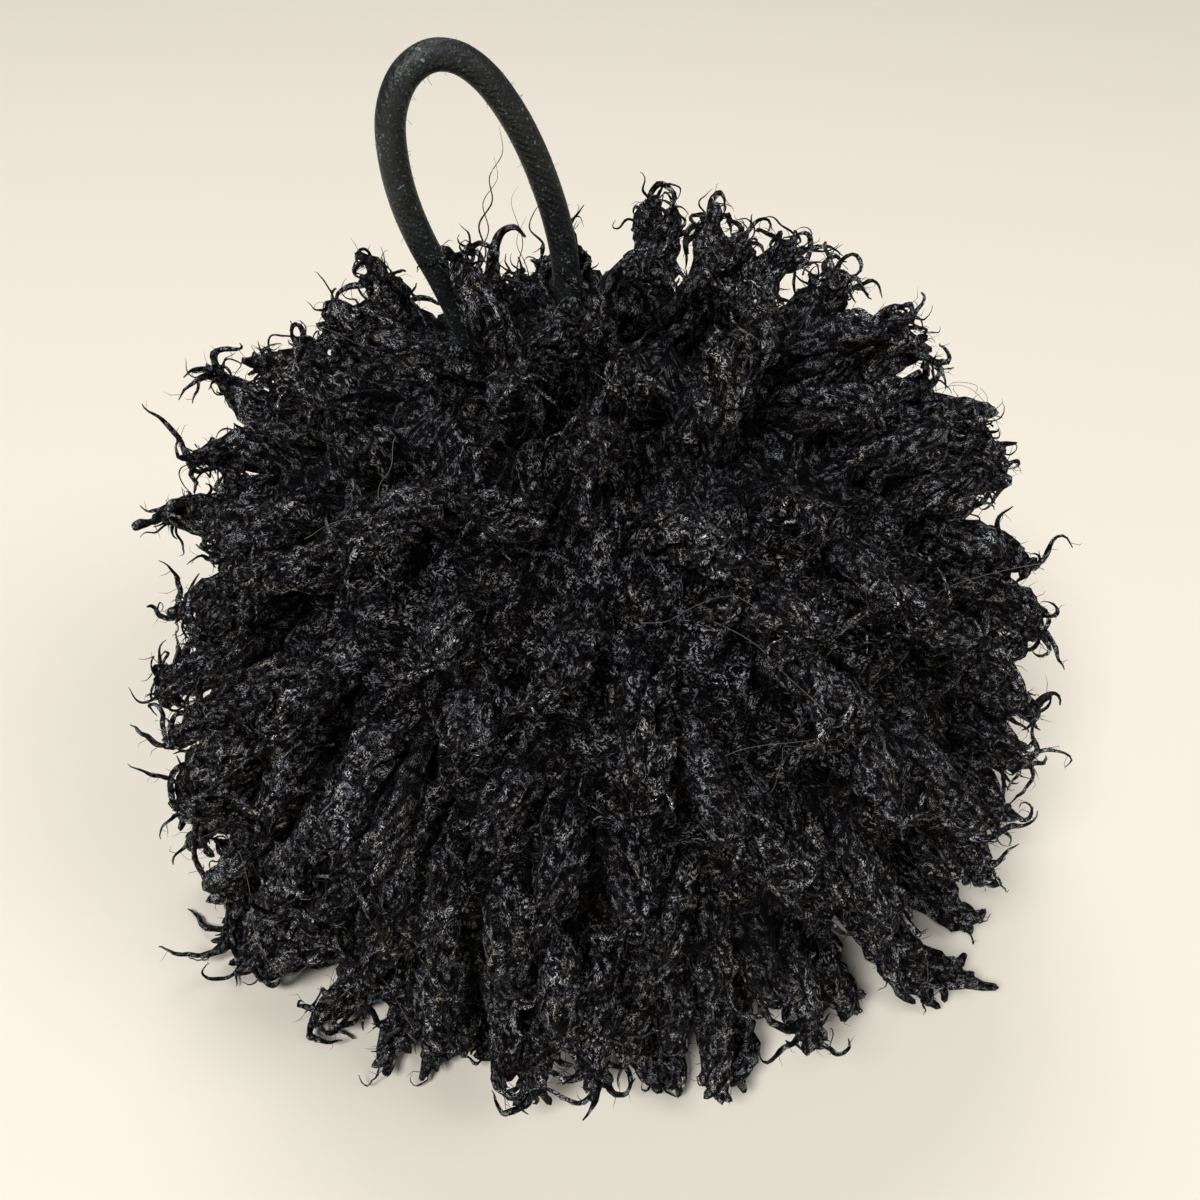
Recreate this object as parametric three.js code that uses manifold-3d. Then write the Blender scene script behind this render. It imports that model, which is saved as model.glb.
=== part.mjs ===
// A curly faux fur pom pom with a loop of elastic cord, lying on a surface.
//
// The ball is one soft piece: a round of long-pile fur gathered over its filling, so that the pile
// stands out all round in drooping locks. It has slumped a little under its own weight, and the
// lowest locks are turned outwards where they meet the surface. The elastic leaves the gathered
// crown as a leaning arch, and both of its legs run down into the pile.
//
// Millimetres, +Z up. The origin is on the surface, under the middle of the ball.
import * as THREE from "three";
import { mergeVertices } from "three/addons/utils/BufferGeometryUtils.js";
import Module from "manifold-3d";

// Driving dimensions, in millimetres unless the name says otherwise.
const BALL = {
  centreHeight: 48, // lower than the ball is thick: it has settled on its flat spot
  coreRadius: 63, // the dense part of the pile, where locks can't be told apart
  coreSides: 24,
  coreRings: 16,
};
const LOCKS = {
  count: 148,
  rootRadius: 44, // from the ball's centre to where a lock's line starts, inside the core
  shortest: 33,
  longest: 42,
  lowestSine: -0.7, // sine of the lowest lock's angle above the ball's equator
  bareAtCrown: 2, // places of the layout left free where the elastic comes out
  droop: 0.6, // how far gravity turns a lock by its tip, as a share of its own direction
  hook: 0.9, // how far a lock curls sideways by its tip, in the same measure
  jitter: 0.16, // unevenness of the layout, in lock spacings
  restHeight: 3.4, // the lowest that the middle of a lock lies above the surface
  steps: 16,
  sides: 5,
};
// A lock from its root to its tip: the share of its length, and its radius there.
const LOCK_SECTIONS = [
  { along: 0.25, radius: 7.8 },
  { along: 0.6, radius: 7.2 },
  { along: 0.86, radius: 4.1 },
];
const CROWN = new THREE.Vector3(-14, 6, 66); // from the ball's centre to where the pile parts
const CORD = { diameter: 4.2, sides: 8, steps: 32, clearance: 0.35, pocketDepth: 1.5 };
// The elastic's middle line, from the end of one leg inside the ball to the end of the other.
const CORD_ROUTE = [
  [-17.2, 4.6, 87],
  [-17.6, 4.4, 94],
  [-18.9, 3.9, 101],
  [-20.8, 3.1, 107.5],
  [-22.9, 2.3, 113.5],
  [-25.3, 1.5, 119.3],
  [-27.1, 0.8, 125.3],
  [-28, 0.5, 131.3],
  [-27.8, 0.6, 137],
  [-25.8, 1.3, 141.6],
  [-22.4, 2.5, 143.9],
  [-18.7, 3.8, 143.4],
  [-15.3, 5, 140.6],
  [-12.4, 6.1, 136.3],
  [-10, 7, 131.4],
  [-8, 7.7, 126],
  [-6.4, 8.3, 120.3],
  [-5.3, 8.7, 114.3],
  [-5, 8.8, 107.8],
  [-5.5, 8.6, 101],
  [-6.5, 8.3, 94],
  [-7.6, 7.9, 87],
];

const DOWN = new THREE.Vector3(0, 0, -1);
const GOLDEN_ANGLE = Math.PI * (3 - Math.sqrt(5));
const BALL_CENTRE = new THREE.Vector3(0, 0, BALL.centreHeight);

const wasm = await Module();
wasm.setup();

// Evenly spread numbers from 0 to 1: number `index` of the run that `step` starts.
const SPREAD_STEPS = { around: 0.7548776662, above: 0.569840291, length: 0.6710436067, curl: 0.8191725134 };
function spread(index, step) {
  return (0.5 + index * SPREAD_STEPS[step]) % 1;
}

// A closed three.js geometry as a solid of manifold-3d, and back.
function toSolid(geometry) {
  const bare = geometry.clone();
  bare.deleteAttribute("normal");
  bare.deleteAttribute("uv");
  const merged = mergeVertices(bare, 1e-3);
  return new wasm.Manifold(
    new wasm.Mesh({
      numProp: 3,
      vertProperties: new Float32Array(merged.attributes.position.array),
      triVerts: new Uint32Array(merged.index.array),
    }),
  );
}
function toGeometry(solid) {
  const mesh = solid.getMesh();
  const geometry = new THREE.BufferGeometry();
  geometry.setAttribute("position", new THREE.BufferAttribute(mesh.vertProperties, 3));
  geometry.setIndex(new THREE.BufferAttribute(mesh.triVerts, 1));
  geometry.computeVertexNormals();
  return geometry;
}

// The directions in which the locks leave the ball: a spiral of equal areas round the crown.
function lockDirections() {
  const toCrown = new THREE.Quaternion().setFromUnitVectors(
    new THREE.Vector3(0, 0, 1),
    CROWN.clone().normalize(),
  );
  const directions = [];
  for (let i = LOCKS.bareAtCrown; i < LOCKS.count; i++) {
    const uneven = LOCKS.jitter * (2 * spread(i, "above") - 1);
    const sine = 1 - ((1 - LOCKS.lowestSine) * (i + 0.5 + uneven)) / LOCKS.count;
    const cosine = Math.sqrt(1 - sine * sine);
    const turn = i * GOLDEN_ANGLE + LOCKS.jitter * (2 * spread(i, "around") - 1);
    directions.push(
      new THREE.Vector3(cosine * Math.cos(turn), cosine * Math.sin(turn), sine).applyQuaternion(toCrown),
    );
  }
  return directions;
}

// The middle line of one lock. It sets off straight out of the ball, droops and curls more and more
// towards its tip, and turns outwards along the surface where it would go below it.
function lockLine(out, index) {
  const length = THREE.MathUtils.lerp(LOCKS.shortest, LOCKS.longest, spread(index, "length"));
  const step = length / LOCKS.steps;
  const across = new THREE.Vector3().crossVectors(out, DOWN).normalize();
  const curl = across.applyAxisAngle(out, 2 * Math.PI * spread(index, "curl"));
  const point = out.clone().multiplyScalar(LOCKS.rootRadius).add(BALL_CENTRE);
  const points = [point.clone()];
  for (let k = 1; k <= LOCKS.steps; k++) {
    const along = k / LOCKS.steps;
    const heading = out.clone();
    heading.addScaledVector(DOWN, LOCKS.droop * along);
    heading.addScaledVector(curl, LOCKS.hook * along ** 3).normalize();
    if (point.z + step * heading.z < LOCKS.restHeight) heading.setZ(0).normalize();
    point.addScaledVector(heading, step);
    points.push(point.clone());
  }
  return new THREE.CatmullRomCurve3(points);
}

// One lock: a turned spindle, bent so that its axis follows the lock's line.
function lockGeometry(line) {
  const profile = LOCK_SECTIONS.map(({ along, radius }) => new THREE.Vector2(radius, along));
  profile.unshift(new THREE.Vector2(0, LOCK_SECTIONS[0].along));
  profile.push(new THREE.Vector2(0, 1));
  const geometry = new THREE.LatheGeometry(profile, LOCKS.sides);
  const position = geometry.attributes.position;
  for (let i = 0; i < position.count; i++) {
    const along = position.getY(i);
    const tangent = line.getTangentAt(along);
    const side = new THREE.Vector3().crossVectors(tangent, DOWN).normalize();
    const over = new THREE.Vector3().crossVectors(side, tangent);
    const point = line.getPointAt(along);
    point.addScaledVector(side, position.getX(i)).addScaledVector(over, position.getZ(i));
    position.setXYZ(i, point.x, point.y, point.z);
  }
  return geometry;
}

// A round cord along the elastic's route, grown by `margin` all round and `longer` at both ends.
function cordGeometry(margin, longer) {
  const route = CORD_ROUTE.map((p) => new THREE.Vector3(...p));
  const ends = [
    [route[0], route[1]],
    [route.at(-1), route.at(-2)],
  ];
  for (const [end, next] of ends) {
    end.addScaledVector(end.clone().sub(next).normalize(), longer);
  }
  const section = new THREE.Shape();
  for (let i = 0; i < CORD.sides; i++) {
    const angle = (2 * Math.PI * i) / CORD.sides;
    const radius = CORD.diameter / 2 + margin;
    const corner = [radius * Math.cos(angle), radius * Math.sin(angle)];
    if (i === 0) section.moveTo(...corner);
    else section.lineTo(...corner);
  }
  return new THREE.ExtrudeGeometry(section, {
    steps: CORD.steps,
    extrudePath: new THREE.CatmullRomCurve3(route),
  });
}

// The ball: its core and locks joined, cut flat where it lies, with a pocket for the elastic's legs.
function furBall() {
  const core = toSolid(
    new THREE.SphereGeometry(BALL.coreRadius, BALL.coreSides, BALL.coreRings)
      .rotateX(Math.PI / 2)
      .translate(0, 0, BALL.centreHeight),
  );
  const locks = lockDirections().map((out, i) => toSolid(lockGeometry(lockLine(out, i))));
  const room = 4 * BALL.coreRadius;
  const aboveSurface = toSolid(new THREE.BoxGeometry(room, room, room).translate(0, 0, room / 2));
  const pocket = toSolid(cordGeometry(CORD.clearance, CORD.pocketDepth));
  const whole = wasm.Manifold.union([core, ...locks]).intersect(aboveSurface).subtract(pocket);
  // The pile is solid right through, so a small gap shut in between locks is filled.
  const skins = whole.decompose().sort((a, b) => b.volume() - a.volume());
  return toGeometry(skins[0]);
}

const curlyFur = new THREE.MeshStandardMaterial({ color: 0x1c1a1d, roughness: 0.62, metalness: 0 });
const wovenElastic = new THREE.MeshStandardMaterial({ color: 0x1b1f20, roughness: 0.8, metalness: 0 });

const pomPom = new THREE.Group();

const ball = new THREE.Mesh(furBall(), curlyFur);
ball.name = "fur_ball";
pomPom.add(ball);

const loop = new THREE.Mesh(cordGeometry(0, 0), wovenElastic);
loop.name = "elastic_loop";
pomPom.add(loop);

export default pomPom;
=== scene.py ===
import math

import bpy
import numpy as np
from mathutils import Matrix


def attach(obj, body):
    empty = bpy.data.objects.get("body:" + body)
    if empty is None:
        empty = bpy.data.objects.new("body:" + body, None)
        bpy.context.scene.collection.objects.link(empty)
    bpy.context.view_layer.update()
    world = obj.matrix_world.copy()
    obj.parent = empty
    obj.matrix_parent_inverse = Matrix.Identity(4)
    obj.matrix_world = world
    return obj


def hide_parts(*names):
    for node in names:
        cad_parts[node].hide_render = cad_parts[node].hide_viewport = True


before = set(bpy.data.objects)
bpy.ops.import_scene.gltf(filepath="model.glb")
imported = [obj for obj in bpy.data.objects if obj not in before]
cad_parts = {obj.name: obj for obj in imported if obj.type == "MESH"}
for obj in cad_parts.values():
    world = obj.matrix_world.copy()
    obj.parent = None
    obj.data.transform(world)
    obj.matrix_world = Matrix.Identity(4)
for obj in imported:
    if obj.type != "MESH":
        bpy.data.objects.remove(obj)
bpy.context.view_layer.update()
MM = 0.001

# ---- Camera -------------------------------------------------------------------------------------
# It stands a little over twenty centimetres from the ball and looks down on it at 37 degrees,
# square to the loop's open side.
CAMERA_PLACE = (0, -170.8 * MM, 185.5 * MM)
CAMERA_PITCH = math.radians(37)
LENS_LENGTH, SENSOR_WIDTH = 37.5, 36
NEAREST_SEEN = 10 * MM

camera_data = bpy.data.cameras.new("camera")
camera_data.lens = LENS_LENGTH
camera_data.sensor_width = SENSOR_WIDTH
camera_data.clip_start = NEAREST_SEEN
camera = bpy.data.objects.new("camera", camera_data)
camera.location = CAMERA_PLACE
camera.rotation_euler = (math.pi / 2 - CAMERA_PITCH, 0, 0)
bpy.context.collection.objects.link(camera)
bpy.context.scene.camera = camera

# ---- Elastic loop -------------------------------------------------------------------------------
# A length of round elastic, rubber inside a finely woven black cover, folded double. Both ends go
# down into the crown of the ball, where the gathering holds them out of sight.
CORD_DIAMETER = 4.2 * MM
CORD_RINGS, CORD_SIDES = 240, 24
CORD_ROUTE = MM * np.array([
    (-17.2, 4.6, 87), (-17.6, 4.4, 94), (-18.9, 3.9, 101), (-20.8, 3.1, 107.5), (-22.9, 2.3, 113.5),
    (-25.3, 1.5, 119.3), (-27.1, 0.8, 125.3), (-28, 0.5, 131.3), (-27.8, 0.6, 137), (-25.8, 1.3, 141.6),
    (-22.4, 2.5, 143.9), (-18.7, 3.8, 143.4), (-15.3, 5, 140.6), (-12.4, 6.1, 136.3), (-10, 7, 131.4),
    (-8, 7.7, 126), (-6.4, 8.3, 120.3), (-5.3, 8.7, 114.3), (-5, 8.8, 107.8), (-5.5, 8.6, 101),
    (-6.5, 8.3, 94), (-7.6, 7.9, 87),
])
WEAVE, THREADS, WORN_PATCHES = 0.5 / MM, 2.6 / MM, 0.45 / MM  # how often each comes in a metre
WEAVE_DEPTH = 0.14 * MM
FLUFF_ON_CORD, FLUFF_RINGS, FLUFF_RADIUS = 500, 3, 0.025 * MM
FLUFF_LENGTH = (0.3 * MM, 0.8 * MM)
FLUFF_ROOT = 0.95  # how far out a hair starts, as a share of the cord's radius
FLUFF_LEAN, FLUFF_BEND = 1.2, 0.4
HAIR_SIDES = 3
POINTS_A_SPAN = 40
SQUARE_MARGIN = 0.06  # the rim left bare in each tube's square, as a share of it


def unit(vectors):
    """Each vector divided by its own length."""
    return vectors / np.linalg.norm(vectors, axis=-1, keepdims=True)


def arc_lengths(lines):
    """The distance along each line from its first point to each of its points."""
    steps = np.linalg.norm(np.diff(lines, axis=-2), axis=-1)
    return np.concatenate([np.zeros_like(steps[..., :1]), np.cumsum(steps, axis=-1)], axis=-1)


def smooth_line(points, count):
    """A Catmull-Rom curve through the points, a cubic of the two before and the two after in each
    span, laid out again as `count` points at equal distances along it."""
    p = np.vstack([2 * points[0] - points[1], points, 2 * points[-1] - points[-2]])
    spans = len(points) - 1
    t = np.linspace(0, spans, POINTS_A_SPAN * spans + 1)
    i = np.minimum(t.astype(int), spans - 1)
    f = (t - i)[:, None]
    a, b, c, d = p[i], p[i + 1], p[i + 2], p[i + 3]
    dense = 0.5 * (2 * b + (c - a) * f + (2 * a - 5 * b + 4 * c - d) * f**2
                   + (3 * b - a - 3 * c + d) * f**3)
    arc = arc_lengths(dense)
    even = np.linspace(0, arc[-1], count)
    return np.stack([np.interp(even, arc, dense[:, k]) for k in range(3)], axis=1)


def square_to(along):
    """Two unit vectors square to the heading at each ring of each line, carried from ring to ring
    by taking away what of them has come to lie along the heading, so that they never twist."""
    upright = np.abs(along[:, 0, 2:]) > 0.8
    side = np.empty_like(along)
    side[:, 0] = unit(np.cross(along[:, 0], np.where(upright, (1.0, 0, 0), (0, 0, 1.0))))
    for ring in range(1, along.shape[1]):
        before, way = side[:, ring - 1], along[:, ring]
        side[:, ring] = unit(before - way * (before * way).sum(-1, keepdims=True))
    return side, np.cross(along, side)


def round_about(side, over, turn):
    """The unit vector at an angle of `turn` from `side` towards `over`."""
    return np.cos(turn)[..., None] * side + np.sin(turn)[..., None] * over


def ring_corners(lines, radii, sides):
    """Corner j of each ring, which stands off the line by its radius at j turns over `sides`."""
    side, over = square_to(unit(np.gradient(lines, axis=1)))
    turn = 2 * np.pi * np.arange(sides) / sides
    return lines[:, :, None] + radii[..., None] * round_about(side[:, :, None], over[:, :, None], turn)


def tubes(name, lines, radii, sides):
    """Closed tubes along lines[tube, ring], as one piece, with one point to close each end. radii
    holds a number for each ring, or for each of its corners. The map "strand" holds the distances
    round and along a tube in metres, and "OFBake" gives each tube a square of its own."""
    count, rings, _ = lines.shape
    radii = np.broadcast_to(radii.reshape(count, rings, -1), (count, rings, sides))
    corners = ring_corners(lines, radii, sides).reshape(count, -1, 3)
    cap = radii.mean(-1, keepdims=True) * unit(np.gradient(lines, axis=1))
    points = np.concatenate([lines[:, :1] - cap[:, :1], corners, lines[:, -1:] + cap[:, -1:]], axis=1)

    row, column = np.meshgrid(np.arange(rings + 2), np.arange(sides + 1), indexing="ij")
    vertex = 1 + (row - 1) * sides + column % sides
    vertex[0], vertex[-1] = 0, rings * sides + 1
    cell = np.arange(vertex.size).reshape(vertex.shape)
    quads = np.stack([cell[1:-2, :-1], cell[1:-2, 1:], cell[2:-1, 1:], cell[2:-1, :-1]], -1)
    start = np.stack([cell[1, 1:], cell[1, :-1], cell[0, :-1]], -1)
    end = np.stack([cell[-2, :-1], cell[-2, 1:], cell[-1, :-1]], -1)
    corner = np.concatenate([quads.ravel(), start.ravel(), end.ravel()])
    sizes = np.repeat([4, 3], [quads.size // 4, 2 * sides])

    mesh = bpy.data.meshes.new(name)
    mesh.vertices.add(count * points.shape[1])
    mesh.vertices.foreach_set("co", points.ravel().astype(np.float32))
    mesh.loops.add(count * corner.size)
    first = points.shape[1] * np.arange(count)[:, None]
    mesh.loops.foreach_set("vertex_index", (first + vertex.ravel()[corner]).ravel().astype(np.int32))
    mesh.polygons.add(count * sizes.size)
    ends = np.cumsum(np.tile(sizes, count))
    mesh.polygons.foreach_set("loop_start", np.append(0, ends[:-1]).astype(np.int32))
    mesh.polygons.foreach_set("use_smooth", np.ones(ends.size, bool))
    mesh.update(calc_edges=True)

    arc = arc_lengths(points[:, [0, *range(1, points.shape[1] - 1, sides), -1]])
    girth = 2 * np.pi * radii.max(axis=(1, 2))
    metres = np.stack(np.broadcast_arrays(girth[:, None, None] * column / sides, arc[..., None]), -1)
    across = math.ceil(math.sqrt(count))
    place = np.stack([np.arange(count) % across, np.arange(count) // across], -1)[:, None, None]
    within = np.stack([column / sides, row / (rings + 1)], -1)
    square = (place + SQUARE_MARGIN + (1 - 2 * SQUARE_MARGIN) * within) / across
    for title, places in (("strand", metres), ("OFBake", square)):
        layer = mesh.uv_layers.new(name=title)
        layer.uv.foreach_set("vector", places.reshape(count, -1, 2)[:, corner].ravel().astype(np.float32))
    piece = bpy.data.objects.new(name, mesh)
    bpy.context.collection.objects.link(piece)
    return piece


def principled(name, **sockets):
    """A material with one Principled shader, and two functions: one adds a node and gives back its
    output, the other fills the shader's inputs, whose names have _ for each space. An input given
    as another node's output is linked, and any other value is set."""
    material = bpy.data.materials.new(name)
    material.use_nodes = True
    tree = material.node_tree
    shader = tree.nodes["Principled BSDF"]

    def fill(made, inputs):
        for key, value in inputs.items():
            if isinstance(value, bpy.types.NodeSocket):
                tree.links.new(value, made.inputs[key])
            else:
                made.inputs[key].default_value = value

    def node(kind, inputs=(), output=0, **settings):
        made = tree.nodes.new("ShaderNode" + kind)
        for key, value in settings.items():
            setattr(made, key, value)
        fill(made, dict(inputs))
        return made.outputs[output]

    def finish(**more):
        fill(shader, {key.replace("_", " "): value for key, value in more.items()})

    finish(**sockets)
    return material, node, finish


def ramp(node, value, low, high, to_low=0.0, to_high=1.0):
    """A smooth step of the value, from to_low at `low` to to_high at `high`."""
    limits = {"From Min": low, "From Max": high, "To Min": to_low, "To Max": to_high}
    return node("MapRange", {"Value": value, **limits}, interpolation_type="SMOOTHSTEP")


def bump(node, height, distance):
    """A normal for a skin that rises by the height times the distance."""
    return node("Bump", {"Strength": 1.0, "Distance": distance, "Height": height})


def woven_elastic():
    """Black thread with a fine slanting weave, a little greener in worn patches, and with painted grey
    highlights, as flecks where loose fibres catch the light."""
    black, charcoal = (0.0030, 0.0038, 0.0040, 1), (0.0080, 0.0105, 0.0105, 1)
    # The grey is the colour of painted highlights.
    highlight_grey = (0.19, 0.23, 0.22, 1)
    material, node, finish = principled("woven_elastic", Roughness=0.48, Specular_IOR_Level=0.45,
                                        Sheen_Weight=0.05, Sheen_Roughness=0.4,
                                        Sheen_Tint=(0.6, 0.75, 0.75, 1))
    place = node("TexCoord", output="Object")
    thread = node("TexNoise", {"Vector": place, "Scale": THREADS, "Detail": 1.0})
    worn = node("TexNoise", {"Vector": place, "Scale": WORN_PATCHES, "Detail": 1.0})
    weave = node("TexWave", {"Vector": node("UVMap", uv_map="strand"), "Scale": WEAVE, "Distortion": 2.0},
                 bands_direction="DIAGONAL")
    ground = node("MixRGB", {0: ramp(node, worn, 0.35, 0.65), 1: black, 2: charcoal})
    # Painted highlights: grey flecks in the base colour, more of them in the worn patches.
    painted_fleck = node("Math", {0: ramp(node, thread, 0.60, 0.76), 1: ramp(node, worn, 0.4, 0.7, 0.25, 1.0)},
                 operation="MULTIPLY")
    height = node("Math", {0: weave, 1: 0.35, 2: thread}, operation="MULTIPLY_ADD")
    finish(Base_Color=node("MixRGB", {0: painted_fleck, 1: ground, 2: highlight_grey}), Normal=bump(node, height, WEAVE_DEPTH))
    return material


def fluff_on(line, count):
    """Short hairs all over the cord. Each starts just under its skin, and heads outwards with a
    lean taken at random and, in proportion to the distance along it, a bend taken at random."""
    side, over = square_to(unit(np.gradient(line[None], axis=1)))
    ring = rng.integers(1, len(line) - 1, count)
    out = round_about(side[0, ring], over[0, ring], rng.uniform(0, 2 * np.pi, count))
    heading = unit(out + rng.normal(0, FLUFF_LEAN, (count, 3)))[:, None]
    length = rng.uniform(*FLUFF_LENGTH, count)[:, None, None]
    root = line[ring] + FLUFF_ROOT * CORD_DIAMETER / 2 * out
    share = np.linspace(0, 1, FLUFF_RINGS)[:, None]
    bend = rng.normal(0, 1, (count, 1, 3))
    return root[:, None] + length * share * (heading + FLUFF_BEND * share * bend)


rng = np.random.default_rng(7)
cord_line = smooth_line(CORD_ROUTE, CORD_RINGS)
cover = tubes("elastic_cover", cord_line[None], np.full((1, CORD_RINGS), CORD_DIAMETER / 2), CORD_SIDES)
hairs = fluff_on(cord_line, FLUFF_ON_CORD)
fluff = tubes("elastic_fluff", hairs, np.full(hairs.shape[:2], FLUFF_RADIUS), HAIR_SIDES)
elastic = woven_elastic()
for piece in (cover, fluff):
    piece.data.materials.append(elastic)
    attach(piece, "root")
    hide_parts("elastic_loop")

# ---- Stuffed core -------------------------------------------------------------------------------
# A round of fur cloth is gathered over a firm ball of filling. Its matted ground shows between the locks as a
# dark, uneven sphere, dimmed further by the fur's painted shade.
BALL_CENTRE = np.array([0, 0, 48]) * MM
CORE_RADIUS = 59 * MM
CORE_RINGS, CORE_SIDES = 66, 120
POLE_SHARE = 0.02  # how near the first ring comes to a pole, as a share of a half turn
WIDE_RIPPLE, WIDE_RISE = 9 * MM, 0.035
FINE_RIPPLE, FINE_RISE = 5 * MM, 0.012
SUNK = 0.98
FLOOR_GAP = 0.4 * MM
FIBRE_WIDE, FIBRE_LONG = 0.21, 0.29  # in millimetres round and along a tube, as the lumps are
LUMP_WIDE, LUMP_LONG = 1.7, 2.2
TUFT, PATCH = 0.85 * MM, 5 * MM
DEEP, OPEN = 56 * MM, 72 * MM  # from the ball's middle, where the painted shade is deepest and where it ends
FUR_BUMP = 0.8 * MM


def ripples(points, wavelength, waves=12):
    """Smooth unevenness through space, about -1 to 1: plane waves of one length, in directions and
    with starts taken at random, added up."""
    ways = unit(rng.normal(0, 1, (waves, 3))) * 2 * np.pi / wavelength
    starts = rng.uniform(0, 2 * np.pi, waves)
    return sum(np.sin(points @ way + begin) for way, begin in zip(ways, starts)) / math.sqrt(waves / 2)


def move_points(piece, change):
    """Puts each point of the piece where `change` sends it."""
    points = np.empty(3 * len(piece.data.vertices), np.float32)
    piece.data.vertices.foreach_get("co", points)
    piece.data.vertices.foreach_set("co", change(points.reshape(-1, 3)).astype(np.float32).ravel())
    piece.data.update()


def above_floor(points):
    """The points, with none lower than a hair's breadth above the surface."""
    return np.column_stack([points[:, :2], np.maximum(points[:, 2], FLOOR_GAP)])


def curly_fur():
    """Near-black crimped fibre. Along a tube run wavy fibres about a quarter of a millimetre apart, over
    lumps of a millimetre or two. The tops of the lumps carry a painted brownish sheen, and on them painted
    highlights of single fibres show bluish or yellowish white in the base colour, with a real metallic shine
    from the same marks. They come in patches, and least of all down between the locks, where painted shade
    dims them. Every tube has its own draw of the pattern, from its own shade."""
    # The fur itself is near black. The second colour is a painted sheen for the lump tops, and the next two
    # are the colours of painted highlights.
    black, sheen_tone = (0.0010, 0.0007, 0.0007, 1), (0.0155, 0.0120, 0.0142, 1)
    cool_highlight, warm_highlight = (0.86, 0.91, 1.0, 1), (1.0, 0.93, 0.84, 1)
    material, node, finish = principled("curly_fur", Sheen_Weight=0.01, Sheen_Roughness=0.4,
                                        Sheen_Tint=(0.5, 0.56, 0.75, 1), Specular_IOR_Level=0.02)
    place = node("TexCoord", output="Object")
    shade = node("Attribute", output="Fac", attribute_name="shade")

    def times(a, b):
        return node("Math", {0: a, 1: b}, operation="MULTIPLY")

    def plus(a, b):
        return node("Math", {0: a, 1: b}, operation="ADD")

    def on_tube(across, along, draw, detail=0.0):
        where = node("CombineXYZ", {0: across, 1: along, 2: times(shade, draw)})
        return node("TexNoise", {"Vector": where, "Scale": 1.0, "Detail": detail, "Roughness": 0.6})

    def patches(each):
        return node("TexNoise", {"Vector": place, "Scale": 1 / each, "Detail": 0.0})

    # u goes round a tube and v along it, in millimetres, and a kink sways the fibres as they run.
    strand = node("UVMap", uv_map="strand")
    u, v = (times(node("SeparateXYZ", {0: strand}, output=axis), 1 / MM) for axis in "XY")
    drift = on_tube(times(u, 0.3), times(v, 0.3), 31.0)
    phase = plus(times(v, math.pi), plus(times(drift, 9.0), times(shade, 60.0)))
    kink = times(node("Math", {0: phase}, operation="SINE"), 0.4)
    fibres = on_tube(times(plus(u, kink), 1 / FIBRE_WIDE), times(v, 1 / FIBRE_LONG), 71.0, 1.0)
    lumps = on_tube(times(u, 1 / LUMP_WIDE), times(v, 1 / LUMP_LONG), 47.0)
    crest = ramp(node, lumps, 0.4, 0.62)
    # Painted shade: the deeper in the ball, the dimmer the painted sheen and highlights. Painted light: the
    # painted highlights are stronger in patches, and on some tubes more than others.
    from_middle = node("VectorMath", {0: place, 1: tuple(BALL_CENTRE)}, output="Value", operation="DISTANCE")
    painted_shade_by_depth = ramp(node, from_middle, DEEP, OPEN, 0.22, 1.0)
    painted_light_patches = times(ramp(node, patches(TUFT), 0.38, 0.55, 0.05, 1.0),
                  ramp(node, patches(PATCH), 0.36, 0.58, 0.45, 1.0))
    painted_light = times(times(painted_light_patches, ramp(node, shade, 0.0, 0.7, 0.45, 1.0)), painted_shade_by_depth)
    # Painted highlights: pale points of single fibres on the lump tops, in the base colour, with a metallic
    # shine from the same mask.
    painted_glint = times(times(ramp(node, fibres, 0.51, 0.61), plus(times(crest, 0.88), 0.12)), painted_light)
    # Painted sheen: a dull brownish tone on the lump tops, dimmed by the painted shade deep in the ball.
    painted_sheen = times(times(ramp(node, fibres, 0.34, 0.62), plus(times(crest, 0.8), 0.2)), painted_shade_by_depth)
    ground = node("MixRGB", {0: painted_sheen, 1: black, 2: sheen_tone})
    highlight_colour = node("MixRGB", {0: ramp(node, drift, 0.42, 0.75), 1: cool_highlight, 2: warm_highlight})
    finish(Base_Color=node("MixRGB", {0: painted_glint, 1: ground, 2: highlight_colour}),
           Metallic=times(painted_glint, 0.8), Roughness=ramp(node, painted_glint, 0.0, 1.0, 0.6, 0.27),
           Normal=bump(node, plus(times(lumps, 1.1), times(fibres, 0.5)), FUR_BUMP))
    return material


fur = curly_fur()


def dress(piece, shades, finish=fur):
    """Gives each tube its own shade, and the piece its finish and its place on the ball."""
    attribute = piece.data.attributes.new("shade", "FLOAT", "POINT")
    each = len(piece.data.vertices) // len(shades)
    attribute.data.foreach_set("value", np.repeat(shades, each).astype(np.float32))
    piece.data.materials.append(finish)
    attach(piece, "root")
    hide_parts("fur_ball")


def matted(points):
    """Points on the sphere pushed in and out by a few millimetres: wide ripples, whose troughs are
    folded up into ridges, and fine ones over them."""
    wide = np.abs(ripples(points, WIDE_RIPPLE))
    rise = SUNK + WIDE_RISE * wide + FINE_RISE * ripples(points, FINE_RIPPLE)
    return above_floor(BALL_CENTRE + (points - BALL_CENTRE) * rise[:, None])


# The core is a tube as well, up the ball's own axis, whose radii swell and shrink as a sphere's do.
from_pole = np.pi * np.linspace(POLE_SHARE, 1 - POLE_SHARE, CORE_RINGS)
core_axis = BALL_CENTRE - CORE_RADIUS * np.outer(np.cos(from_pole), (0, 0, 1))
core = tubes("stuffed_core", core_axis[None], CORE_RADIUS * np.sin(from_pole)[None], CORE_SIDES)
move_points(core, matted)
dress(core, [0.5])

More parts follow.
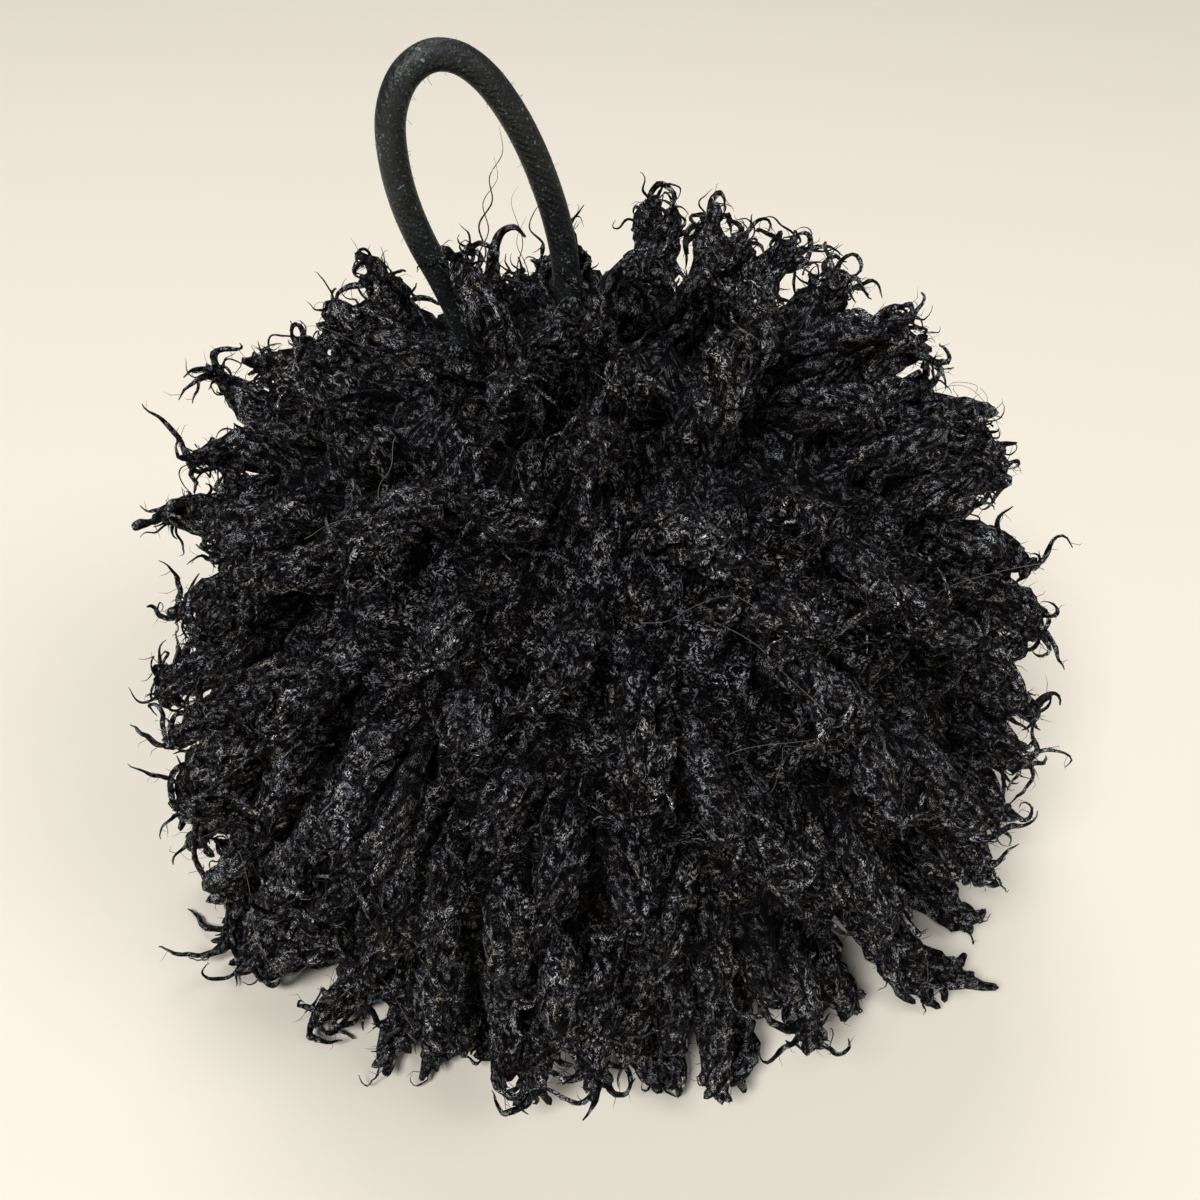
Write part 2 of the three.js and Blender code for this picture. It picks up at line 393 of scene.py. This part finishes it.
# ---- Curly locks --------------------------------------------------------------------------------
# The pile grows in locks about a centimetre thick, which stand out of the cloth all round and bend
# down under their own weight. Each is a loose rope of ringlets that draws together to its end. The
# front has been stroked down from a parting before the loop, and the lowest locks lie on the table.
LOCKS, BARE_AT_CROWN, LOCK_STEPS = 270, 2, 16
ROOT_RADIUS = 44 * MM
SHORTEST, LONGEST = 33 * MM, 42 * MM
CROWN = np.array([-14, 6, 66.0])  # the way from the ball's middle to the loop's foot
LOWEST_SINE = -0.72
GOLDEN_ANGLE = math.pi * (3 - math.sqrt(5))
AROUND, ABOVE, LENGTH, CURL = 0.7548776662, 0.569840291, 0.6710436067, 0.8191725134
SWERVE, JITTER = 0.9, 0.2
DOWN = np.array([0, 0, -1.0])
UP_AND_BACK = np.array([0, 0.6, 0.8])
FACING, DROOP = (-0.4, 0.9), (1.6, 0.4)  # how far a lock faces up and back, and its droop there
LOW, SPLAY = (-0.4, 0.1), (0.6, 0)  # how high a lock faces, and how much longer it is at the sides
BEHIND_LOOP, PRESSED, PRESSED_REACH = np.array([-0.2, 0.5, 0.84]), 0.4, 0.3
REST_HEIGHT = 3.4 * MM
CLUMPS = 29
CLUMP_HEIGHT, CLUMPED = (15 * MM, 45 * MM), (0.95, 0)  # a point's height, and its pull there

RINGLETS_EACH = 7
RINGLET_POINTS, RINGLET_RINGS, RINGLET_SIDES = 37, 18, 5
RINGLET_START, RINGLET_SHOWN = (0.26, 0.32), 0.8
RINGLET_RADIUS = (1.25 * MM, 1.85 * MM)
RINGLET_TAPER = ([0, 0.3, 0.56, 0.7, 0.8], [1, 1.05, 1, 0.7, 0.35])  # shares, and radii there
RINGLET_FLAT = 0.8
OFF_MIDDLE, MIDDLE_RINGLET_OFF = (2.3 * MM, 3.6 * MM), 0.4 * MM
GATHERED = ([0.15, 0.5, 0.75, 1], [0, 0.4, 0.5, 0.25])  # shares, and the way to the middle there
LUMP, LEAST_PUFF, PUFF, PUFF_CHANCE = 5.5 * MM, 0.78, 0.36, 0.08
QUARTERS = ("back_right", "back_left", "front_left", "front_right")


def spread(index, step):
    """Shares from 0 to 1 that a run of whole numbers spreads evenly without repeating. Good steps
    are the powers of one over a number whose own third or fourth power is itself plus one."""
    return (0.5 + index * step) % 1


def about_crown(sine, turn):
    """Directions at a height of `sine` over the crown's own equator, at `turn` round its pole. The
    pole is tipped from upright onto the crown by turning all of it about a level axis."""
    level = np.sqrt(1 - sine**2)
    upright = np.stack([level * np.cos(turn), level * np.sin(turn), sine], -1)
    pole = unit(CROWN)
    axis = unit(np.cross((0, 0, 1.0), pole))
    return (upright * pole[2] + np.cross(axis, upright) * math.sqrt(1 - pole[2]**2)
            + np.outer(upright @ axis, axis) * (1 - pole[2]))


def lock_lengths(out, order):
    """Lengths spread between the shortest and the longest. Locks behind the loop are pressed short,
    by a bell curve of their angle from the middle of that patch. Low locks at the two sides are
    longer, by the cube of how far they face sideways."""
    length = SHORTEST + (LONGEST - SHORTEST) * spread(order, LENGTH)
    from_patch = np.arccos(out @ unit(BEHIND_LOOP))
    sideways = np.abs(out[:, 0]) / np.hypot(out[:, 0], out[:, 1])
    return (length * (1 - PRESSED * np.exp(-(from_patch / PRESSED_REACH)**2))
            * (1 + sideways**3 * np.interp(out[:, 2], LOW, SPLAY)))


def in_clumps(lines):
    """The lines, drawn together low down in clumps spaced unevenly round the ball: each point turns
    about the upright towards its nearest clump, more so near its line's end and near the table."""
    x, y, z = np.moveaxis(lines, -1, 0)
    turn = np.arctan2(y, x)
    pull = np.linspace(0, 1, lines.shape[1])**1.5 * np.interp(z, CLUMP_HEIGHT, CLUMPED)
    change = -pull / CLUMPS * np.sin(CLUMPS * turn + 1.5 * np.sin(3 * turn) + np.sin(5 * turn + 2))
    return np.stack([x * np.cos(change) - y * np.sin(change), x * np.sin(change) + y * np.cos(change), z], -1)


def lock_lines():
    """The middle line of each lock, and its length. Locks start on a sphere inside the ball, a
    golden angle apart and each a little lower than the last. A line heads outwards, with more
    droop and more swerve to its own side as it goes, and runs level where it meets the table. The
    droop is least for locks that face up and back, and most for those that face the other way."""
    number = np.arange(BARE_AT_CROWN, LOCKS)
    height = number + 0.5 + JITTER * (2 * spread(number, ABOVE) - 1)
    turn = number * GOLDEN_ANGLE + JITTER * (2 * spread(number, AROUND) - 1)
    out = about_crown(1 - (1 - LOWEST_SINE) * height / LOCKS, turn)
    order = number - BARE_AT_CROWN
    length = lock_lengths(out, order)
    droop = np.interp(out @ UP_AND_BACK, FACING, DROOP)[:, None]
    across = unit(np.cross(out, DOWN))
    to_side = round_about(across, np.cross(out, across), 2 * np.pi * spread(order, CURL))
    points = [BALL_CENTRE + ROOT_RADIUS * out]
    for step in range(1, LOCK_STEPS + 1):
        share = step / LOCK_STEPS
        heading = unit(out + droop * share * DOWN + SWERVE * share**3 * to_side)
        at_table = points[-1][:, 2] + length / LOCK_STEPS * heading[:, 2] < REST_HEIGHT
        heading[at_table, 2] = 0
        points.append(points[-1] + (length / LOCK_STEPS)[:, None] * unit(heading))
    return in_clumps(np.stack(points, 1)), length


def sample(lines, share):
    """Points at shares from 0 to 1 of each line, straight between its own points."""
    x = np.clip(share, 0, 1) * (lines.shape[1] - 1)
    i = np.minimum(x.astype(int), lines.shape[1] - 2)
    part = (x - i)[..., None]
    row = np.arange(len(lines))[:, None]
    return lines[row, i] * (1 - part) + lines[row, i + 1] * part


def heading_at(lines, share):
    """The way each line runs at a share of its length, from points a twentieth before and after."""
    share = np.clip(share, 0.05, 0.95)
    return unit(sample(lines, share + 0.05) - sample(lines, share - 0.05))


def drawn(count, **ranges):
    """For each named range, a number for each of `count` hairs, taken evenly from it."""
    return {name: rng.uniform(low, high, (count, 1)) for name, (low, high) in ranges.items()}


def grow(parents, reach, start, stand_off, about, facing, rings, curl, bend_from, follow, rough):
    """Lines that curl about their parent lines, found by adding up short steps. A line starts at the
    share `start` of its parent, out from it by `stand_off` at the angle `about`. Each step heads as
    the parent does `follow` times as far on, leaned over by `lean`, and past the share `bend_from`
    by a growing part of `hook` too. The side that it leans to is `facing` at first, and goes round
    once in each `wave` and by `swing` in the bend. Two crimps square to it sway it by `crimp` in
    each `crimp_wave`, with `rough` left to chance."""
    share = np.linspace(0, 1, rings)
    arc = share * curl["length"]
    along = heading_at(parents, start + arc * follow / reach)
    side, over = square_to(along)
    bend = np.clip((share - bend_from) / (1 - bend_from), 0, 1)
    turned = 2 * np.pi * arc / curl["wave"] + curl["swing"] * np.minimum(1, 2 * bend)
    away = round_about(side, over, facing + turned)
    lean = curl["lean"] + curl["hook"] * bend**1.2
    heading = np.cos(lean)[..., None] * along + np.sin(lean)[..., None] * away
    across = unit(np.cross(heading, away) + 1e-9)
    phase = 2 * np.pi * arc / curl["crimp_wave"] + rng.uniform(0, 2 * np.pi, (len(parents), 1))
    sway = curl["crimp"] * (np.sin(phase) + rough * rng.normal(0, 1, arc.shape))
    lift = curl["crimp"] * (np.cos(1.31 * phase + 1) + rough * rng.normal(0, 1, arc.shape))
    heading = unit(heading + sway[..., None] * across + lift[..., None] * np.cross(across, heading))
    steps = 0.5 * (heading[:, 1:] + heading[:, :-1]) * np.diff(arc)[..., None]
    root = sample(parents, start) + stand_off[..., None] * round_about(side[:, :1], over[:, :1], about)
    return root + np.concatenate([np.zeros_like(steps[:, :1]), np.cumsum(steps, 1)], 1)


def in_quarters(kind, lines, radii, sides, finish=fur):
    """Tubes for the whole ball, as one piece for each quarter of it."""
    out = lines[:, 0] - BALL_CENTRE
    quarter = (np.degrees(np.arctan2(out[:, 1], out[:, 0])) % 360 // 90).astype(int)
    for number, place in enumerate(QUARTERS):
        chosen = quarter == number
        piece = tubes(kind + "_" + place, lines[chosen], radii[chosen], sides)
        move_points(piece, above_floor)
        dress(piece, rng.uniform(0, 1, chosen.sum()), finish)


# All but one of a lock's ringlets stand round its middle line, and the last runs along it.
locks, lock_length = lock_lines()
of_lock = np.repeat(np.arange(len(locks)), RINGLETS_EACH)
ringlet_count = len(of_lock)
member = np.arange(ringlet_count)[:, None] % RINGLETS_EACH
hand = rng.choice([-1.0, 1.0], len(locks))[of_lock, None]
round_lock = rng.uniform(0, 2 * np.pi, len(locks))[of_lock, None]
round_lock = round_lock + 2 * np.pi * (member + rng.uniform(-0.2, 0.2, member.shape)) / (RINGLETS_EACH - 1)
stand_off = rng.uniform(*OFF_MIDDLE, member.shape)
stand_off[member == RINGLETS_EACH - 1] = MIDDLE_RINGLET_OFF
ringlet_start = rng.uniform(*RINGLET_START, member.shape)

# They wind about that line, all to the same hand in one lock, and are gathered in towards it.
winding = drawn(ringlet_count, length=(0.9, 1.18), wave=(35 * MM, 60 * MM), hook=(1.2, 5.2),
                swing=(0.2, 1.6), crimp=(0.22, 0.34), crimp_wave=(6.5 * MM, 10 * MM))
winding["length"] *= (1 - ringlet_start) * lock_length[of_lock, None]
winding["lean"] = np.arctan(2 * np.pi * stand_off / winding["wave"])
winding["wave"] *= hand
winding["swing"] *= hand
ringlets = grow(locks[of_lock], lock_length[of_lock, None], ringlet_start, stand_off, round_lock,
                round_lock + hand * np.pi / 2, RINGLET_POINTS, winding,
                bend_from=0.56, follow=0.95, rough=0.25)
along_ringlet = np.linspace(0, 1, RINGLET_POINTS)
lock_middle = sample(locks[of_lock], ringlet_start + (1 - ringlet_start) * along_ringlet)
ringlets += np.interp(along_ringlet, *GATHERED)[:, None] * (lock_middle - ringlets)

# Their skin is lumpy. Past the share that is shown, only finer curls run on, as the next sections say.
ring_share = np.linspace(0, RINGLET_SHOWN, RINGLET_RINGS)
shown = sample(ringlets, np.tile(ring_share, (ringlet_count, 1)))
ringlet_radius = rng.uniform(*RINGLET_RADIUS, (ringlet_count, 1)) * np.interp(ring_share, *RINGLET_TAPER)
round_rings = ring_corners(shown, np.repeat(ringlet_radius[..., None], RINGLET_SIDES, -1), RINGLET_SIDES)
puff = (LEAST_PUFF + PUFF * np.abs(ripples(round_rings, LUMP))
        + rng.uniform(-PUFF_CHANCE, PUFF_CHANCE, round_rings.shape[:3]))
shown[..., 2] = np.maximum(shown[..., 2], RINGLET_FLAT * ringlet_radius)
in_quarters("ringlets", shown, ringlet_radius[..., None] * puff, RINGLET_SIDES)

# ---- End curls ----------------------------------------------------------------------------------
# Towards its end each lock splits into thin springy curls, which taper to a point. They grow from
# the outer half of its ringlets, and some bend over.
CURLS, CURL_RINGS, CURL_SIDES = 1500, 17, 4
LEAST_HEIGHT = 0.8 * MM
HAIR_TAPER = ([0, 0.2, 0.6, 1], [0.8, 1, 0.85, 0.15])  # shares, and radii there


def sprout(parents, count, rings, between, depth, out, curl, **bends):
    """Hairs that leave their parents at shares `between` two limits. Each starts at `depth` of the
    parent's radius, which is just under its skin, and heads along the parent and away from it,
    turned aside by up to `out`. `parents` gives the lines, their lengths, the radii of their rings,
    and the share of the line where the last ring is."""
    lines, reach, radii, last_ring = parents
    chosen = np.arange(count) % len(lines)
    start = rng.uniform(*between, (count, 1))
    ring = np.rint(start[:, 0] / last_ring * (radii.shape[1] - 1)).astype(int)
    about = rng.uniform(0, 2 * np.pi, (count, 1))
    hand = rng.choice([-1.0, 1.0], (count, 1))
    curl = {**curl, "wave": hand * curl["wave"], "swing": np.zeros((count, 1))}
    hairs = grow(lines[chosen], reach[chosen], start, depth * radii[chosen, ring][:, None], about,
                 about + hand * rng.uniform(0, out, (count, 1)), rings, curl, **bends)
    hairs[..., 2] = np.maximum(hairs[..., 2], LEAST_HEIGHT)
    return hairs


def tapered(count, rings, thin, thick, uneven):
    """Radii for hairs, fullest in the first part and drawn to a point, a little uneven."""
    along = np.interp(np.linspace(0, 1, rings), *HAIR_TAPER)
    return rng.uniform(thin, thick, (count, 1)) * along * rng.uniform(1 - uneven, 1 + uneven, (count, rings))


all_ringlets = (ringlets, winding["length"], ringlet_radius, RINGLET_SHOWN)
springy = drawn(CURLS, length=(9 * MM, 15 * MM), lean=(0.1, 0.5), wave=(9 * MM, 18 * MM), hook=(-1.0, 3.0),
                crimp=(0.15, 0.35), crimp_wave=(3 * MM, 5 * MM))
curls = sprout(all_ringlets, CURLS, CURL_RINGS, between=(0.45, 0.78), depth=0.7, out=1.2, curl=springy,
               bend_from=0.5, follow=0.9, rough=0.25)
curl_radius = tapered(CURLS, CURL_RINGS, 0.4 * MM, 0.72 * MM, 0.12)
in_quarters("end_curls", curls, curl_radius, CURL_SIDES)

# ---- Loose ends ---------------------------------------------------------------------------------
# Thinner curls, of a few fibres each, leave the ends of the locks in smooth hooks and waves. They
# have slipped out of the ringlets, so they lie apart from them.
WISPS, WISP_RINGS = 600, 20
easy = drawn(WISPS, length=(7 * MM, 12 * MM), lean=(0.1, 0.5), wave=(9 * MM, 22 * MM), hook=(0.8, 4.4),
             crimp=(0.1, 0.3), crimp_wave=(4 * MM, 7 * MM))
wisps = sprout(all_ringlets, WISPS, WISP_RINGS, between=(0.6, 0.8), depth=0.5, out=1.6, curl=easy,
               bend_from=0.3, follow=0.85, rough=0.12)
in_quarters("wisps", wisps, tapered(WISPS, WISP_RINGS, 0.13 * MM, 0.34 * MM, 0.1), HAIR_SIDES)

# ---- Crimped strands ----------------------------------------------------------------------------
# Over the ringlets lies a web of crimped strands, which breaks up their outline and their shine.
# Each starts just under a ringlet's skin and runs close along it.
STRANDS, STRAND_RINGS = 1850, 14
crinkled = drawn(STRANDS, length=(6 * MM, 9 * MM), lean=(0.3, 1.0), wave=(6 * MM, 14 * MM), hook=(-0.5, 3),
                 crimp=(0.35, 0.8), crimp_wave=(1.5 * MM, 2.8 * MM))
strands = sprout(all_ringlets, STRANDS, STRAND_RINGS, between=(0.2, 0.8), depth=0.85, out=1.4,
                 curl=crinkled, bend_from=0.55, follow=0.8, rough=0.5)
in_quarters("strands", strands, tapered(STRANDS, STRAND_RINGS, 0.14 * MM, 0.28 * MM, 0.25), HAIR_SIDES)

# ---- Fine fuzz ----------------------------------------------------------------------------------
# The finest hairs are single fibres, which stand off the ringlets and off the end curls all round. Against
# the light they look brown, and that brown is painted into their colour everywhere.
FUZZ_ON_LOCKS, FUZZ_ON_CURLS, FUZZ_RINGS = 5400, 4200, 3
FUZZ_THIN, FUZZ_THICK = 0.045 * MM, 0.075 * MM


def plain(name, **sockets):
    """A material whose shader has the same inputs all over."""
    return principled(name, **sockets)[0]


# A painted brown, for how thin fibres look against the light.
backlit_brown = plain("brown_fuzz", Base_Color=(0.022, 0.014, 0.010, 1), Roughness=0.6, Specular_IOR_Level=0.1)
all_curls = (curls, springy["length"], curl_radius, 1)
for kind, parents, count, between in (("fuzz", all_ringlets, FUZZ_ON_LOCKS, (0.45, 0.8)),
                                      ("tip_fuzz", all_curls, FUZZ_ON_CURLS, (0.15, 0.95))):
    downy = drawn(count, length=(1.8 * MM, 3.8 * MM), lean=(0.8, 1.5), wave=(8 * MM, 20 * MM), hook=(-1, 2),
                  crimp=(0.2, 0.5), crimp_wave=(2 * MM, 4 * MM))
    fuzz = sprout(parents, count, FUZZ_RINGS, between, depth=0.8, out=1.2, curl=downy,
                  bend_from=0.55, follow=0.8, rough=0.5)
    in_quarters(kind, fuzz, tapered(count, FUZZ_RINGS, FUZZ_THIN, FUZZ_THICK, 0.1), HAIR_SIDES, backlit_brown)

# ---- Stray hairs --------------------------------------------------------------------------------
# A few dozen smooth hairs have come loose, and lie over the locks in long easy bends. Each is a single pale
# grey fibre.
STRAYS, STRAY_RINGS, STRAY_RADIUS = 30, 40, 0.045 * MM
HALF_SPAN = (0.05, 0.16)  # to each side of a hair's middle, for a ball of radius 1
BOW, WAVER, WAVER_EACH = 12.5, 0.012, (0.015, 0.03)
STRAY_LIFT = 1.2 * MM
NEAR_COSINE = math.cos(0.05)
WINDOW = 10


def over_locks(ways):
    """Points that far out along each way that the ringlets near it are cleared: their greatest
    distance from the ball's middle, evened out along each hair by a bell-shaped window."""
    tops = shown.reshape(-1, 3) - BALL_CENTRE
    height = np.linalg.norm(tops, axis=1)
    near = ways @ (tops / height[:, None]).T.astype(np.float32) > NEAR_COSINE
    cleared = np.pad(np.where(near, height, CORE_RADIUS).max(-1), ((0, 0), (WINDOW, WINDOW)), mode="edge")
    weights = np.hanning(2 * WINDOW + 1) / WINDOW
    even = sum(weight * cleared[:, k:k + ways.shape[1]] for k, weight in enumerate(weights))
    return BALL_CENTRE + (even + STRAY_LIFT)[..., None] * ways


# On a ball of radius 1 each runs along its tilt through its middle. It goes aside by a bow, which
# grows as the square of the distance, and by a waver, which is a sine of it.
middle = unit(rng.normal(0, 1, (STRAYS, 3)) + (0, 0, 0.5))
tilt = unit(np.cross(middle, rng.normal(0, 1, (STRAYS, 3))))
span = rng.uniform(*HALF_SPAN, (STRAYS, 1)) * np.linspace(-1, 1, STRAY_RINGS)
aside = BOW * rng.uniform(-1, 1, (STRAYS, 1)) * span**2
aside += WAVER * np.sin(span / rng.uniform(*WAVER_EACH, (STRAYS, 1)))
strays = over_locks(unit(middle[:, None] + span[..., None] * tilt[:, None]
                         + aside[..., None] * np.cross(middle, tilt)[:, None]))
strays[..., 2] = np.maximum(strays[..., 2], LEAST_HEIGHT)
pale = plain("pale_hair", Base_Color=(0.15, 0.145, 0.13, 1), Roughness=0.4, Specular_IOR_Level=0.4)
stray_piece = tubes("stray_hairs", strays, np.full(strays.shape[:2], STRAY_RADIUS), HAIR_SIDES)
dress(stray_piece, np.zeros(STRAYS), pale)

# ---- Hairs inside the loop ----------------------------------------------------------------------
# Between the loop's legs stand a thick curl, a thin wavy lock by the right leg, and a few hairs.
# Each has its radius at its fullest, and its route in millimetres.
INSIDE_RINGS, INSIDE_SIDES = 60, 6
INSIDE = [
    (1.45 * MM, [(-15, 8, 98), (-15.6, 6.5, 108), (-15.8, 6, 114.5), (-14.6, 6, 118.6),
                 (-12.4, 6, 119.8), (-10.9, 6, 118.4)]),
    (0.3 * MM, [(-7.2, 8, 98), (-7.6, 6, 110), (-9.3, 6, 113), (-8.2, 6, 117), (-10.2, 6, 119.6),
                (-9.2, 6, 122.4), (-8.2, 6, 123.2)]),
    (0.17 * MM, [(-18.5, 8, 98), (-18, 6, 112), (-16.7, 6, 116), (-17.5, 6, 120), (-15.4, 6, 123.5),
                 (-15.6, 6, 127), (-13.6, 6, 130.4), (-13.9, 6, 134)]),
    (0.13 * MM, [(-17.2, 8, 98), (-17.4, 6.4, 110), (-17.9, 6.4, 115), (-16.2, 6.6, 119),
                 (-16.8, 6.8, 123), (-14.6, 7, 126.4), (-14.9, 7, 129.5)]),
    (0.1 * MM, [(-12, 8, 98), (-12.4, 6, 112), (-11.2, 5, 118), (-12.6, 5, 123.6), (-11.6, 5, 126)]),
    (0.1 * MM, [(-9.5, 8, 98), (-10.6, 7, 112), (-12.2, 7, 117), (-10.7, 7, 121)]),
]
inside = np.stack([smooth_line(MM * np.array(route), INSIDE_RINGS) for _, route in INSIDE])
inside_radius = (np.array([[radius] for radius, _ in INSIDE])
                 * tapered(len(INSIDE), INSIDE_RINGS, 1, 1, 0.08))
inside_piece = tubes("hairs_inside_loop", inside, inside_radius, INSIDE_SIDES)
dress(inside_piece, rng.uniform(0, 1, len(INSIDE)))

# ---- Floor and light ----------------------------------------------------------------------------
# A plain pale table top, three large soft lamps overhead, the strongest a little to the front, and
# a world that lights the ball faintly and looks pale to the camera.
FLOOR_HALF = 1.5
WORLD_LIGHT, WORLD_SEEN = 0.12, 0.85
mesh = bpy.data.meshes.new("floor")
mesh.from_pydata([(-FLOOR_HALF, -FLOOR_HALF, 0), (FLOOR_HALF, -FLOOR_HALF, 0), (FLOOR_HALF, FLOOR_HALF, 0),
                  (-FLOOR_HALF, FLOOR_HALF, 0)], [], [(0, 1, 2, 3)])
floor = bpy.data.objects.new("floor", mesh)
bpy.context.collection.objects.link(floor)
mesh.materials.append(plain("table_top", Base_Color=(0.84, 0.785, 0.68, 1), Roughness=0.8))


def softbox(name, place, size, power):
    """A round lamp aimed at the middle of the ball."""
    data = bpy.data.lights.new(name, "AREA")
    data.shape = "DISK"
    data.size = size
    data.energy = power
    lamp = bpy.data.objects.new(name, data)
    lamp.location = place
    x, y, z = BALL_CENTRE - place
    lamp.rotation_euler = (math.atan2(math.hypot(x, y), -z), 0, math.atan2(x, -y) + math.pi)
    bpy.context.collection.objects.link(lamp)


softbox("key", (-0.9, -1.7, 2.2), size=0.9, power=71)
softbox("side", (1.6, -1.0, 2.0), size=1.2, power=23)
softbox("top", (-0.3, 1.3, 2.6), size=1.4, power=22)
world = bpy.data.worlds.new("world")
bpy.context.scene.world = world
world.use_nodes = True
nodes, links = world.node_tree.nodes, world.node_tree.links
strength = nodes.new("ShaderNodeMapRange")
strength.inputs["To Min"].default_value = WORLD_LIGHT
strength.inputs["To Max"].default_value = WORLD_SEEN
links.new(nodes.new("ShaderNodeLightPath").outputs["Is Camera Ray"], strength.inputs["Value"])
links.new(strength.outputs["Result"], nodes["Background"].inputs["Strength"])
nodes["Background"].inputs["Color"].default_value = (1, 0.97, 0.92, 1)
bpy.context.scene.view_settings.view_transform = "Standard"
